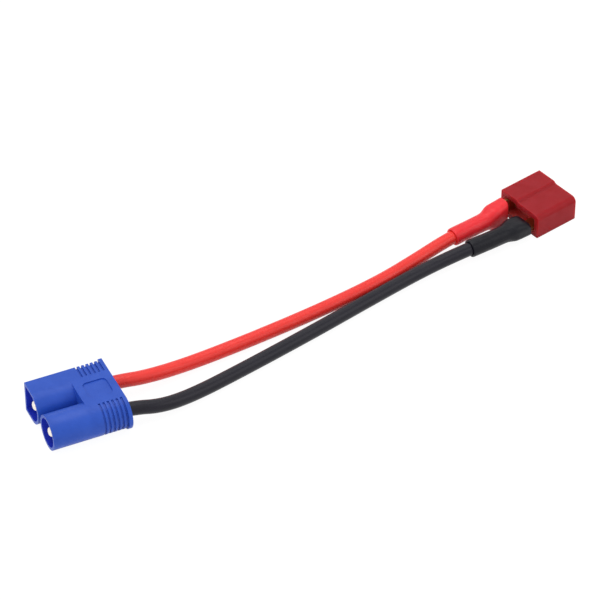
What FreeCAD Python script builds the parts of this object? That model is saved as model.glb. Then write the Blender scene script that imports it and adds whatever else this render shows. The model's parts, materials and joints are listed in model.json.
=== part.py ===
import FreeCAD, Part
import math
import os

Vector = FreeCAD.Vector

# Battery adapter cable. A flat two-pole plug with two bullet pins, two silicone wires and
# a blade socket. All sizes are in millimetres. The plug's axis runs along X, its mouth
# faces -X and the red wire's pole is on +Y. The origin is on the standing surface, at the
# middle of the flat base of the plug's rear block.

# Plug housing
BODY_RADIUS = 5.05
PIN_PITCH = 11.6
FLAT_SIDE = 5.0
SHROUD_LENGTH = 11.5
BLOCK_LENGTH = 11.3
SHROUD_WALL = 0.85
CHAMBER_DEPTH = 12.1
PARTITION = 2.0
CORNER_ROUND = 0.45
REAR_BORE_RADIUS = 3.0

# Grip grooves, rear collar and the shallow panel between the grooves
GROOVE_COUNT = 6
GROOVE_PITCH = 1.28
GROOVE_WIDTH = 0.62
GROOVE_DEPTH = 0.42
GROOVE_INNER_END = 6.0
COLLAR_LENGTH = 1.05
COLLAR_RISE = 0.5
PANEL_LENGTH = 7.0
PANEL_WIDTH = 6.8
PANEL_DEPTH = 0.35
PANEL_ROUND = 1.4
PANEL_SHIFT = 0.05

# Bullet pins and their spring cages
PIN_SETBACK = 0.35
PIN_RADIUS = 1.75
HEAD_RADIUS = 1.6
HEAD_LENGTH = 2.3
HEAD_ROUND = 1.1
NECK_RADIUS = 1.05
NECK_LENGTH = 7.05
PIN_SHANK_RADIUS = 2.1
PIN_COLLAR_LENGTH = 1.2
CUP_RADIUS = 2.3
CUP_WALL = 0.6
CUP_LENGTH = 5.1
CUP_DEPTH = 4.3
CAGE_WALL = 0.2
CAGE_SLOTS = 6
CAGE_SLOT_WIDTH = 0.4
CAGE_RING = 0.7
CAGE_SLOPE = 1.2

# Wires: the points between the cup and the tab are chosen to lie as the real ones do
WIRE_DIAMETER = 4.0
STRAND_RADIUS = 1.3
STRAND_IN_CUP = 4.0
WIRE_GAP = 0.15
STRAND_STOP = 3.4
RED_WIRE_END = 6.7
BLACK_WIRE_END = 6.2
LAST_RUN = 5.5
RED_LEAD = (4.7, -0.05, -0.15)
RED_ROUTE = [
    (15.9, 5.3, 3.9),
    (28.9, 6.8, 2.45),
    (48.9, 9.2, 2.15),
    (72.9, 12.7, 2.15),
    (93.9, 17.0, 2.2),
    (108.4, 21.4, 2.7),
    (119.3, 24.5, 3.6),
]
BLACK_LEAD = (4.6, -0.15, -0.25)
BLACK_ROUTE = [
    (15.7, -7.1, 3.45),
    (26.0, -5.3, 2.3),
    (42.9, -1.1, 2.1),
    (66.9, 5.2, 2.1),
    (89.9, 11.8, 2.1),
    (107.4, 16.0, 2.7),
    (120.9, 17.6, 3.65),
]

# Heat-shrink sleeves, measured along the wires from their ends at the tabs
SLEEVE_WALL = 0.5
SLEEVE_CORNER = 0.9
SLEEVE_NIP = 0.9
SLEEVE_BENDS = 3
RED_SLEEVE_REACH = 15.1
RED_SLEEVE_STOP = 2.2
RED_FLARE_START = 3.3
RED_FLARE_LENGTH = 2.6
RED_SPREAD = 1.2
BLACK_SLEEVE_REACH = 15.3
BLACK_SLEEVE_STOP = 1.7
BLACK_FLARE_START = 2.8
BLACK_FLARE_LENGTH = 2.2
BLACK_SPREAD = 0.7

# Blade socket, placed by the middle of its rear face
SOCKET_PLACE = (142.75, 25.45, 0.0)
SOCKET_TURN = 14.0
SOCKET_LENGTH = 14.9
SOCKET_WIDTH = 16.2
SOCKET_HEIGHT = 8.4
STEP_FROM_MIDDLE = 0.7
STEP_DROP = 0.6
STEP_RUN = 0.7
SOCKET_SIDE_ROUND = 1.7
SOCKET_EDGE_ROUND = 0.35
RIM_WALL = 1.7
RECESS_DEPTH = 3.2
SOCKET_PARTITION = 1.8

# Contact plates and the gaps that the mating blades enter
PLATE_WIDTH = 6.6
PLATE_THICKNESS = 0.9
PLATE_SETBACK = 0.8
TAB_WIDTH = 4.2
TAB_REACH = 5.9
BLADE_GAP = 1.2
POSITIVE_TAB_OFFSET = 5.45
UPRIGHT_COVER_BELOW = 1.0
UPRIGHT_COVER_ABOVE = 0.8
NEGATIVE_TAB_OFFSET = -4.05
NEGATIVE_TAB_HEIGHT = 2.25

# Solder and clearances
SOLDER_SKIN = 0.22
SOLDER_SETBACK = 1.2
SOLDER_STOP = 3.0
FIT = 0.05
SLEEVE_FIT = 0.15

PIN_Y = PIN_PITCH / 2
AXIS_Z = BODY_RADIUS
BLOCK_FRONT = -BLOCK_LENGTH / 2
BLOCK_REAR = BLOCK_LENGTH / 2
MOUTH_X = BLOCK_FRONT - SHROUD_LENGTH
CHAMBER_FLOOR = MOUTH_X + CHAMBER_DEPTH
PIN_SEAT = CHAMBER_FLOOR + PARTITION
PIN_TIP = MOUTH_X + PIN_SETBACK
CUP_MOUTH = PIN_SEAT + PIN_COLLAR_LENGTH + CUP_LENGTH
CUP_BORE = CUP_RADIUS - CUP_WALL
UPRIGHT_TOP = SOCKET_HEIGHT - UPRIGHT_COVER_ABOVE
UPRIGHT_WIDTH = UPRIGHT_TOP - UPRIGHT_COVER_BELOW
POSITIVE_TAB_HEIGHT = UPRIGHT_COVER_BELOW + UPRIGHT_WIDTH / 2


def rounded_edges(points, radii, closed):
    """Straight runs joined by tangent arcs, one radius for each point and 0 for none."""
    corners = []
    for index, (point, radius) in enumerate(zip(points, radii)):
        if radius == 0:
            corners.append((point, None, point))
            continue
        back = (points[index - 1] - point).normalize()
        ahead = (points[(index + 1) % len(points)] - point).normalize()
        half = back.getAngle(ahead) / 2
        reach = radius / math.tan(half)
        middle_way = (back + ahead).normalize()
        crown = point + middle_way * (radius / math.sin(half) - radius)
        corners.append((point + back * reach, crown, point + ahead * reach))
    edges = []
    for index, (start, crown, end) in enumerate(corners):
        if crown is not None:
            edges.append(Part.Arc(start, crown, end).toShape())
        if index + 1 < len(corners) or closed:
            following = corners[(index + 1) % len(corners)][0]
            if (following - end).Length > 1e-6:
                edges.append(Part.LineSegment(end, following).toShape())
    return edges


def outline_face(corners, place):
    """A flat face from (u, v, radius) corners, with each one placed by the function."""
    points = [place(u, v) for u, v, radius in corners]
    radii = [radius for u, v, radius in corners]
    return Part.Face(Part.Wire(rounded_edges(points, radii, True)))


def across(x):
    """Places (u, v) as y and z in the plane at x."""
    return lambda u, v: Vector(x, u, v)


def level(z):
    """Places (u, v) as x and y in the plane at height z."""
    return lambda u, v: Vector(u, v, z)


def bar_x(corners, start, end):
    """A prism along X between start and end, from corners in y and z."""
    return outline_face(corners, across(start)).extrude(Vector(end - start, 0, 0))


def rod_x(radius, start, end, y, z):
    """A round rod along X."""
    return Part.makeCylinder(radius, end - start, Vector(start, y, z), Vector(1, 0, 0))


def box(x0, x1, y0, y1, z0, z1):
    """A box between two corners."""
    return Part.makeBox(x1 - x0, y1 - y0, z1 - z0, Vector(x0, y0, z0))


def turned(profile, y, z):
    """A solid turned about an axis along X, from (x, radius) points and (x, r, x, r) arcs."""
    points = [(item[-2], item[-1]) for item in profile]
    edges = []
    for index, item in enumerate(profile):
        start = Vector(points[index - 1][0], y, z + points[index - 1][1])
        end = Vector(item[-2], y, z + item[-1])
        if len(item) == 4:
            crown = Vector(item[0], y, z + item[1])
            edges.append(Part.Arc(start, crown, end).toShape())
        else:
            edges.append(Part.LineSegment(start, end).toShape())
    face = Part.Face(Part.Wire(edges))
    return face.revolve(Vector(0, y, z), Vector(1, 0, 0), 360)


def d_section(round_y, inset, corner):
    """Corners of the D outline: flat on the far side, half round about round_y."""
    radius = BODY_RADIUS - inset
    flat = PIN_Y + FLAT_SIDE - inset
    top = AXIS_Z + radius
    bottom = AXIS_Z - radius
    near = round_y - radius
    return [
        (flat, top, corner),
        (near, top, radius),
        (near, bottom, radius),
        (flat, bottom, corner),
    ]


def rear_collar():
    """The proud collar at the plug's rear, level with the top and the base."""
    top = AXIS_Z + BODY_RADIUS
    start = BLOCK_REAR - COLLAR_LENGTH
    flat = PIN_Y + FLAT_SIDE + COLLAR_RISE
    side = [(flat, top, CORNER_ROUND), (0, top, 0), (0, 0, 0), (flat, 0, CORNER_ROUND)]
    far_half = bar_x(side, start, BLOCK_REAR)
    near_top = Vector(start, -PIN_Y, top)
    near_base = Vector(start, -PIN_Y, 0)
    bulge = Vector(start, -PIN_Y - BODY_RADIUS - COLLAR_RISE, AXIS_Z)
    edges = [
        Part.LineSegment(Vector(start, 0, top), near_top).toShape(),
        Part.Arc(near_top, bulge, near_base).toShape(),
        Part.LineSegment(near_base, Vector(start, 0, 0)).toShape(),
        Part.LineSegment(Vector(start, 0, 0), Vector(start, 0, top)).toShape(),
    ]
    near_half = Part.Face(Part.Wire(edges)).extrude(Vector(COLLAR_LENGTH, 0, 0))
    return far_half.fuse(near_half)


def grip_grooves():
    """Cutters that leave a core inside, so that each groove wraps one side of the block."""
    reach = 2 * BODY_RADIUS + PIN_PITCH
    core = bar_x(
        d_section(-PIN_Y, GROOVE_DEPTH, CORNER_ROUND), BLOCK_FRONT - 1, BLOCK_REAR + 1
    )
    first = BLOCK_REAR - COLLAR_LENGTH - GROOVE_WIDTH - (GROOVE_COUNT - 1) * GROOVE_PITCH
    cutters = []
    for index in range(GROOVE_COUNT):
        start = first + index * GROOVE_PITCH
        end = start + GROOVE_WIDTH
        cutters.append(box(start, end, GROOVE_INNER_END, reach, -1, 2 * AXIS_Z + 1))
        cutters.append(box(start, end, -reach, -GROOVE_INNER_END, -1, 2 * AXIS_Z + 1))
    return Part.makeCompound(cutters).cut(core)


def panel_recess():
    """The shallow rounded panel sunk in the top, between the grooves."""
    top = AXIS_Z + BODY_RADIUS
    x0 = PANEL_SHIFT - PANEL_LENGTH / 2
    x1 = x0 + PANEL_LENGTH
    y1 = PANEL_WIDTH / 2
    corners = [
        (x0, -y1, PANEL_ROUND),
        (x1, -y1, PANEL_ROUND),
        (x1, y1, PANEL_ROUND),
        (x0, y1, PANEL_ROUND),
    ]
    return outline_face(corners, level(top - PANEL_DEPTH)).extrude(Vector(0, 0, 1))


def plug_housing():
    """The moulded body: a D shroud, a round shroud and the grooved rear block."""
    d_shroud = bar_x(d_section(PIN_Y, 0, CORNER_ROUND), MOUTH_X, BLOCK_FRONT)
    round_shroud = rod_x(BODY_RADIUS, MOUTH_X, BLOCK_FRONT, -PIN_Y, AXIS_Z)
    block = bar_x(d_section(-PIN_Y, 0, CORNER_ROUND), BLOCK_FRONT, BLOCK_REAR)
    body = block.fuse([d_shroud, round_shroud, rear_collar()]).removeSplitter()
    inner = d_section(PIN_Y, SHROUD_WALL, CORNER_ROUND)
    cuts = [
        bar_x(inner, MOUTH_X, CHAMBER_FLOOR),
        rod_x(BODY_RADIUS - SHROUD_WALL, MOUTH_X, CHAMBER_FLOOR, -PIN_Y, AXIS_Z),
        grip_grooves(),
        panel_recess(),
    ]
    for y in (PIN_Y, -PIN_Y):
        cuts.append(rod_x(PIN_SHANK_RADIUS + FIT, CHAMBER_FLOOR, PIN_SEAT, y, AXIS_Z))
        cuts.append(rod_x(REAR_BORE_RADIUS, PIN_SEAT, BLOCK_REAR, y, AXIS_Z))
    return body.cut(cuts)


def bullet_pin(y):
    """A bullet pin: domed head, neck for the cage, barrel, seat collar and solder cup."""
    seat_radius = REAR_BORE_RADIUS - FIT
    head_end = PIN_TIP + HEAD_LENGTH
    neck_end = head_end + NECK_LENGTH
    cup_start = PIN_SEAT + PIN_COLLAR_LENGTH
    cup_floor = CUP_MOUTH - CUP_DEPTH
    bow = HEAD_ROUND - HEAD_ROUND * math.sqrt(0.5)
    profile = [
        (PIN_TIP, 0),
        (PIN_TIP, HEAD_RADIUS - HEAD_ROUND),
        (PIN_TIP + bow, HEAD_RADIUS - bow, PIN_TIP + HEAD_ROUND, HEAD_RADIUS),
        (head_end, HEAD_RADIUS),
        (head_end, NECK_RADIUS),
        (neck_end, NECK_RADIUS),
        (neck_end, PIN_RADIUS),
        (CHAMBER_FLOOR, PIN_RADIUS),
        (CHAMBER_FLOOR, PIN_SHANK_RADIUS),
        (PIN_SEAT, PIN_SHANK_RADIUS),
        (PIN_SEAT, seat_radius),
        (cup_start, seat_radius),
        (cup_start, CUP_RADIUS),
        (CUP_MOUTH, CUP_RADIUS),
        (CUP_MOUTH, CUP_BORE),
        (cup_floor, CUP_BORE),
        (cup_floor, 0),
    ]
    return turned(profile, y, AXIS_Z)


def spring_cage(y):
    """The slotted spring cage that bows out round the pin's neck."""
    start = PIN_TIP + HEAD_LENGTH + FIT
    end = PIN_TIP + HEAD_LENGTH + NECK_LENGTH - FIT
    inner = NECK_RADIUS + FIT
    belly = PIN_RADIUS - FIT - CAGE_WALL
    rise = [start + CAGE_RING, start + CAGE_RING + CAGE_SLOPE]
    fall = [end - CAGE_RING - CAGE_SLOPE, end - CAGE_RING]
    inside = [
        (start, inner),
        (rise[0], inner),
        (rise[1], belly),
        (fall[0], belly),
        (fall[1], inner),
        (end, inner),
    ]
    outside = [(x, radius + CAGE_WALL) for x, radius in reversed(inside)]
    cage = turned(inside + outside, y, AXIS_Z)
    slots = []
    for index in range(CAGE_SLOTS):
        half = CAGE_SLOT_WIDTH / 2
        slot = box(rise[0], fall[1], y - half, y + half, AXIS_Z + inner / 2, 2 * AXIS_Z)
        turn = 360 * index / CAGE_SLOTS
        slot.rotate(Vector(0, y, AXIS_Z), Vector(1, 0, 0), turn)
        slots.append(slot)
    return cage.cut(slots)


def wire_route(y, lead, middle_points, axis_y, axis_z, wire_end):
    """A wire's route: out of the cup, over the chosen points, straight on to the tab."""
    first = Vector(CUP_MOUTH + WIRE_GAP, y, AXIS_Z)
    second = first + Vector(*lead)
    bend = socket_placement().multVec(Vector(-wire_end - LAST_RUN, axis_y, axis_z))
    last = socket_placement().multVec(Vector(-wire_end, axis_y, axis_z))
    return [first, second] + [Vector(*point) for point in middle_points] + [bend, last]


def route_radii(route):
    """The arc radius at each inner point, 0.45 of the shorter run over tan of half the turn."""
    radii = [0]
    for index in range(1, len(route) - 1):
        before = route[index] - route[index - 1]
        after = route[index + 1] - route[index]
        turn = before.getAngle(after)
        shorter = min(before.Length, after.Length)
        radii.append(0.45 * shorter / math.tan(turn / 2))
    return radii + [0]


def route_edges(route):
    """The route's runs and tangent arcs."""
    return rounded_edges(route, route_radii(route), False)


def wire_insulation(name, route):
    """A wire's round insulation, swept along its route; its radii and volume are printed."""
    radius = WIRE_DIAMETER / 2
    path = Part.Wire(route_edges(route))
    heading = route[1] - route[0]
    ring = Part.Wire(Part.makeCircle(radius, route[0], heading))
    tube = path.makePipeShell([ring], True, False)
    expected = math.pi * radius ** 2 * path.Length
    print(name, "radii", [round(value, 1) for value in route_radii(route)[1:-1]])
    print(name, "length", round(path.Length, 2))
    print(name, "volume", round(tube.Volume, 2), "against", round(expected, 2))
    return tube


def strand_end(end, inner, length):
    """The bared strands that run straight on from one end of a wire."""
    return Part.makeCylinder(STRAND_RADIUS, length, end, end - inner)


def cup_solder(y, strands):
    """Solder that fills a cup round the strands, down to the cup's floor."""
    fill = rod_x(CUP_BORE - FIT / 2, CUP_MOUTH - CUP_DEPTH + FIT, CUP_MOUTH - FIT, y, AXIS_Z)
    return fill.cut(strands)


def socket_placement():
    """Carries a piece from the socket's own frame to its place at the wires' end."""
    turn = FreeCAD.Rotation(Vector(0, 0, 1), SOCKET_TURN)
    return FreeCAD.Placement(Vector(*SOCKET_PLACE), turn)


def placed(shape):
    """A copy of a piece, carried to the socket's place."""
    moved = shape.copy()
    moved.transformShape(socket_placement().toMatrix())
    return moved


def socket_section(inset):
    """Corners of the socket's outline: a tall far half and a near half rounded at its top."""
    far = SOCKET_WIDTH / 2 - inset
    top = SOCKET_HEIGHT - inset
    near_top = SOCKET_HEIGHT - STEP_DROP - inset
    edge = max(SOCKET_EDGE_ROUND - inset / 2, 0.15)
    side = SOCKET_SIDE_ROUND - inset
    return [
        (far, top, edge),
        (STEP_FROM_MIDDLE + STEP_RUN, top, edge),
        (STEP_FROM_MIDDLE, near_top, edge),
        (-far, near_top, side),
        (-far, inset, edge),
        (far, inset, edge),
    ]


def plate_pocket(y0, y1, z0, z1):
    """The cut for one contact: a pocket from the mouth and a slot through the partition."""
    floor = RECESS_DEPTH + SOCKET_PARTITION
    return box(floor, SOCKET_LENGTH + 1, y0 - FIT, y1 + FIT, z0 - FIT, z1 + FIT)


def positive_plate_box(x0, x1, width):
    """A stretch of the upright contact plate."""
    half = PLATE_THICKNESS / 2
    y = POSITIVE_TAB_OFFSET
    z = POSITIVE_TAB_HEIGHT
    return box(x0, x1, y - half, y + half, z - width / 2, z + width / 2)


def negative_plate_box(x0, x1, width):
    """A stretch of the level contact plate."""
    half = PLATE_THICKNESS / 2
    y = NEGATIVE_TAB_OFFSET
    z = NEGATIVE_TAB_HEIGHT
    return box(x0, x1, y - width / 2, y + width / 2, z - half, z + half)


def contact_plate(stretch, width):
    """A flat contact: the wide blade, and a narrow tab that runs back to the wire."""
    shoulder = RECESS_DEPTH + SOCKET_PARTITION
    blade = stretch(shoulder, SOCKET_LENGTH - PLATE_SETBACK, width)
    tab = stretch(-TAB_REACH, shoulder, TAB_WIDTH)
    return blade.fuse(tab).removeSplitter()


def socket_housing():
    """The socket's body, with its rear recess and the T of two blade slots in its mouth."""
    body = bar_x(socket_section(0), 0, SOCKET_LENGTH)
    half = PLATE_THICKNESS / 2
    y = POSITIVE_TAB_OFFSET
    upright = plate_pocket(y - half - BLADE_GAP, y + half, UPRIGHT_COVER_BELOW, UPRIGHT_TOP)
    reach = PLATE_WIDTH / 2
    y = NEGATIVE_TAB_OFFSET
    z = NEGATIVE_TAB_HEIGHT
    flat = plate_pocket(y - reach, y + reach, z - half, z + half + BLADE_GAP)
    floor = RECESS_DEPTH + SOCKET_PARTITION
    passages = []
    for stretch in (positive_plate_box, negative_plate_box):
        slot = stretch(-1, floor + 1, TAB_WIDTH + 2 * FIT)
        passages.append(slot)
    recess = bar_x(socket_section(RIM_WALL), 0, RECESS_DEPTH)
    return body.cut([recess, upright, flat] + passages)


def strand_axis(upright):
    """Where the strands lie on a tab, as y and z in the socket's frame."""
    lift = PLATE_THICKNESS / 2 + FIT + STRAND_RADIUS
    if upright:
        return POSITIVE_TAB_OFFSET - lift, POSITIVE_TAB_HEIGHT
    return NEGATIVE_TAB_OFFSET, NEGATIVE_TAB_HEIGHT + lift


def tab_solder(upright, strands, plate):
    """Solder that joins the strands to a tab, rounded over the strands."""
    start = -TAB_REACH + SOLDER_SETBACK
    end = -SOLDER_STOP
    radius = STRAND_RADIUS + SOLDER_SKIN
    y, z = strand_axis(upright)
    over = rod_x(radius, start, end, y, z)
    if upright:
        foot = box(start, end, y, POSITIVE_TAB_OFFSET, z - radius, z + radius)
    else:
        foot = box(start, end, y - radius, y + radius, NEGATIVE_TAB_HEIGHT, z)
    return placed(over.fuse(foot)).cut([strands, plate])


def sleeve_ring(centre, heading, low_y, high_y, low_z, high_z, corner):
    """A rounded outline across a heading, with its sides given about the wire's axis."""
    side = Vector(-heading.y, heading.x, 0).normalize()
    up = heading.cross(side).normalize()
    corners = [
        (high_y, high_z, corner),
        (low_y, high_z, corner),
        (low_y, low_z, corner),
        (high_y, low_z, corner),
    ]
    points = [centre + side * u + up * v for u, v, radius in corners]
    return Part.Wire(rounded_edges(points, [corner] * 4, True))


def wire_station(edges, back):
    """The point and heading on a route at a distance back from its end."""
    for edge in reversed(edges):
        if back <= edge.Length:
            place = edge.getParameterByLength(edge.Length - back)
            return edge.valueAt(place), edge.tangentAt(place)
        back -= edge.Length
    return edges[0].valueAt(edges[0].FirstParameter), edges[0].tangentAt(edges[0].FirstParameter)


def blend(first, second, share):
    """A smooth step from one list of sizes to another."""
    ease = share * share * (3 - 2 * share)
    return [a + (b - a) * ease for a, b in zip(first, second)]


def tab_outline(upright, core, spread):
    """The sleeve's inner sides round a tab and a core on it, about the wire's axis."""
    reach = core + SLEEVE_FIT
    wide = TAB_WIDTH / 2 + spread
    back = STRAND_RADIUS + FIT + PLATE_THICKNESS + SLEEVE_FIT
    if upright:
        return [-reach, max(reach, back), -wide, wide, SLEEVE_CORNER]
    return [-wide, wide, -max(reach, back), reach, SLEEVE_CORNER]


def sleeve(route, upright, wire_end, stop, reach, flare_start, flare_length, spread):
    """A shrunk sleeve: round over the wire, flared over the tab and nipped in at its end."""
    edges = route_edges(route)
    radius = WIRE_DIAMETER / 2
    snug = radius + SLEEVE_FIT
    round_sides = [-snug, snug, -snug, snug, snug - FIT]
    over_wire = tab_outline(upright, radius, spread)
    over_tab = tab_outline(upright, STRAND_RADIUS + SOLDER_SKIN, spread)
    nipped = list(over_tab)
    side = 0 if upright else 3
    nipped[side] -= math.copysign(SLEEVE_NIP, nipped[side])
    bends = SLEEVE_BENDS
    step = (reach - flare_start) / bends
    stations = [(reach - step * index, round_sides) for index in range(bends)]
    for index in range(4):
        share = index / 3
        sides = blend(round_sides, over_wire, share)
        stations.append((flare_start - share * flare_length, sides))
    stations.append((-FIT, over_wire))
    stations.append((-(wire_end - SOLDER_STOP) / 2, over_tab))
    stations.append((-(wire_end - SOLDER_STOP), over_tab))
    stations.append((-(wire_end - stop), nipped))
    shells = []
    for skin in (SLEEVE_WALL, 0):
        rings = []
        for back, (low_y, high_y, low_z, high_z, corner) in stations:
            centre, heading = wire_station(edges, max(back, 0))
            centre = centre + heading * max(-back, 0)
            ring = sleeve_ring(
                centre,
                heading,
                low_y - skin,
                high_y + skin,
                low_z - skin,
                high_z + skin,
                corner + skin,
            )
            rings.append(ring)
        shells.append(Part.makeLoft(rings, True, True))
    return shells[0].cut(shells[1])


def save(name, shape):
    """Writes one piece, and prints its volume and whether it is one sound solid."""
    print(name, "volume", round(shape.Volume, 2), "solids", len(shape.Solids), shape.isValid())
    shape.exportStep("parts/" + name + ".step")


def pole_pieces(pole, colour, y, lead, points, wire_end, stretch):
    """All of one pole's pieces, from its bullet pin to its contact plate."""
    upright = pole == "positive"
    axis_y, axis_z = strand_axis(upright)
    route = wire_route(y, lead, points, axis_y, axis_z, wire_end)
    cup_strands = strand_end(route[0], route[1], STRAND_IN_CUP)
    tab_strands = strand_end(route[-1], route[-2], wire_end - STRAND_STOP)
    plate = placed(contact_plate(stretch, UPRIGHT_WIDTH if upright else PLATE_WIDTH))
    save(pole + "_bullet_pin", bullet_pin(y))
    save(pole + "_spring_cage", spring_cage(y))
    save(pole + "_cup_strands", cup_strands)
    save(pole + "_cup_solder", cup_solder(y, cup_strands))
    save(colour + "_wire", wire_insulation(colour + "_wire", route))
    save(pole + "_tab_strands", tab_strands)
    save(pole + "_contact_plate", plate)
    save(pole + "_tab_solder", tab_solder(upright, tab_strands, plate))
    return route


def main():
    os.makedirs("parts", exist_ok=True)
    save("plug_housing", plug_housing())
    red_route = pole_pieces(
        "positive", "red", PIN_Y, RED_LEAD, RED_ROUTE, RED_WIRE_END, positive_plate_box
    )
    black_route = pole_pieces(
        "negative", "black", -PIN_Y, BLACK_LEAD, BLACK_ROUTE, BLACK_WIRE_END, negative_plate_box
    )
    red_sleeve = sleeve(
        red_route,
        True,
        RED_WIRE_END,
        RED_SLEEVE_STOP,
        RED_SLEEVE_REACH,
        RED_FLARE_START,
        RED_FLARE_LENGTH,
        RED_SPREAD,
    )
    black_sleeve = sleeve(
        black_route,
        False,
        BLACK_WIRE_END,
        BLACK_SLEEVE_STOP,
        BLACK_SLEEVE_REACH,
        BLACK_FLARE_START,
        BLACK_FLARE_LENGTH,
        BLACK_SPREAD,
    )
    save("red_heat_shrink", red_sleeve)
    save("black_heat_shrink", black_sleeve)
    save("socket_housing", placed(socket_housing()))


main()
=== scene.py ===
import json
import logging
import math
from contextlib import contextmanager
from dataclasses import dataclass, field
from enum import Enum
from typing import Callable, Iterator, Optional, Sequence

import bmesh
import bpy
from mathutils import Matrix, Vector

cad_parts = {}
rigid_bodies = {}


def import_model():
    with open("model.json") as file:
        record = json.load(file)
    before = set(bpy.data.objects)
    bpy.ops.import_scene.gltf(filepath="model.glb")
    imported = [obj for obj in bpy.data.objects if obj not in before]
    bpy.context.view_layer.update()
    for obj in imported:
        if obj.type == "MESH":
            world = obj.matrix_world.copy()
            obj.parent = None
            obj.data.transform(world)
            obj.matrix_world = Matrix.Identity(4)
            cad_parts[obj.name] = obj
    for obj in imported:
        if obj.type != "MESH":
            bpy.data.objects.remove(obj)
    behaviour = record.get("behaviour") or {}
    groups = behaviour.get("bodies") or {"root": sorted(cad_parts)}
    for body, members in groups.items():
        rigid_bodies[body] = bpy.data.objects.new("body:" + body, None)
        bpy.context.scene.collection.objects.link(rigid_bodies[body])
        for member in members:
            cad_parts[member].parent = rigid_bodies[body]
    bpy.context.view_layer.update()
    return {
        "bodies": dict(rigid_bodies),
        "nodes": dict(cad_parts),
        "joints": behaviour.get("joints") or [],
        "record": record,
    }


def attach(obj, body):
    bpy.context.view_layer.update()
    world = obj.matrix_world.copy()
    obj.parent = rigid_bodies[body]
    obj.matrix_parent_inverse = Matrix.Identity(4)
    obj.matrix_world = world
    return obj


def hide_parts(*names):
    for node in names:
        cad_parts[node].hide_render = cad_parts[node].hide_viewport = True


LOG = logging.getLogger("adapter_cable")
MM = 0.001


# Bench


class Part(Enum):
    """What a selection picks in edit mode."""

    CORNERS = "VERT"
    EDGES = "EDGE"
    FACES = "FACE"


def single_out(piece: bpy.types.Object) -> None:
    """Deselects everything and makes one piece active.

    Args:
        piece: The piece to work on next.
    """
    bpy.ops.object.select_all(action="DESELECT")
    piece.select_set(True)
    bpy.context.view_layer.objects.active = piece


@contextmanager
def editing(piece: bpy.types.Object) -> Iterator[None]:
    """Opens a piece in edit mode with nothing selected, and closes it again.

    Args:
        piece: The mesh piece to open.

    Yields:
        Nothing, once the piece is open.
    """
    single_out(piece)
    bpy.ops.object.mode_set(mode="EDIT")
    bpy.ops.mesh.select_mode(type="VERT")
    bpy.ops.mesh.select_all(action="DESELECT")
    yield
    bpy.ops.object.mode_set(mode="OBJECT")


def pick(piece: bpy.types.Object, part: Part, test: Callable[..., bool]) -> int:
    """Selects the corners, edges or faces of an open piece that pass a test.

    Args:
        piece: The piece in edit mode.
        part: What the test is asked about.
        test: Says whether a corner, edge or face is wanted.

    Returns:
        How many were selected.
    """
    bpy.ops.mesh.select_mode(type=part.value)
    bpy.ops.mesh.select_all(action="DESELECT")
    shape = bmesh.from_edit_mesh(piece.data)
    items = {Part.CORNERS: shape.verts, Part.EDGES: shape.edges, Part.FACES: shape.faces}[part]
    chosen = [item for item in items if test(item)]
    for item in chosen:
        item.select_set(True)
    shape.select_flush_mode()
    bmesh.update_edit_mesh(piece.data)
    return len(chosen)


def soften(piece: bpy.types.Object, width: float, sharpness: float = 28.0, steps: int = 2) -> None:
    """Rounds every edge of an open piece that is sharper than an angle.

    Args:
        piece: The piece in edit mode.
        width: The round's width, in metres.
        sharpness: The smallest angle that is rounded, in degrees.
        steps: How many faces the round has.
    """
    bpy.ops.mesh.select_mode(type="EDGE")
    bpy.ops.mesh.select_all(action="DESELECT")
    bpy.ops.mesh.edges_select_sharp(sharpness=math.radians(sharpness))
    bpy.ops.mesh.bevel(offset=width, segments=steps, affect="EDGES", clamp_overlap=True)


def finish_shape(piece: bpy.types.Object, angle: float = 35.0) -> None:
    """Shades a piece smooth below an angle, with the flat faces kept flat.

    Args:
        piece: The finished mesh piece.
        angle: The largest angle that is shaded smooth, in degrees.
    """
    single_out(piece)
    bpy.ops.object.shade_smooth_by_angle(angle=math.radians(angle))
    even = piece.modifiers.new("even_normals", "WEIGHTED_NORMAL")
    even.keep_sharp = True
    bpy.ops.object.modifier_apply(modifier=even.name)


def declare(piece: bpy.types.Object, node: str) -> None:
    """Lets a finished piece stand for a solid.

    Args:
        piece: The finished piece, with its materials.
        node: The solid that it replaces.
    """
    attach(piece, "root")
    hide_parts(node)
    LOG.info("piece %s for %s, %d faces", piece.name, node, len(piece.data.polygons))


# Node helpers


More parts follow.
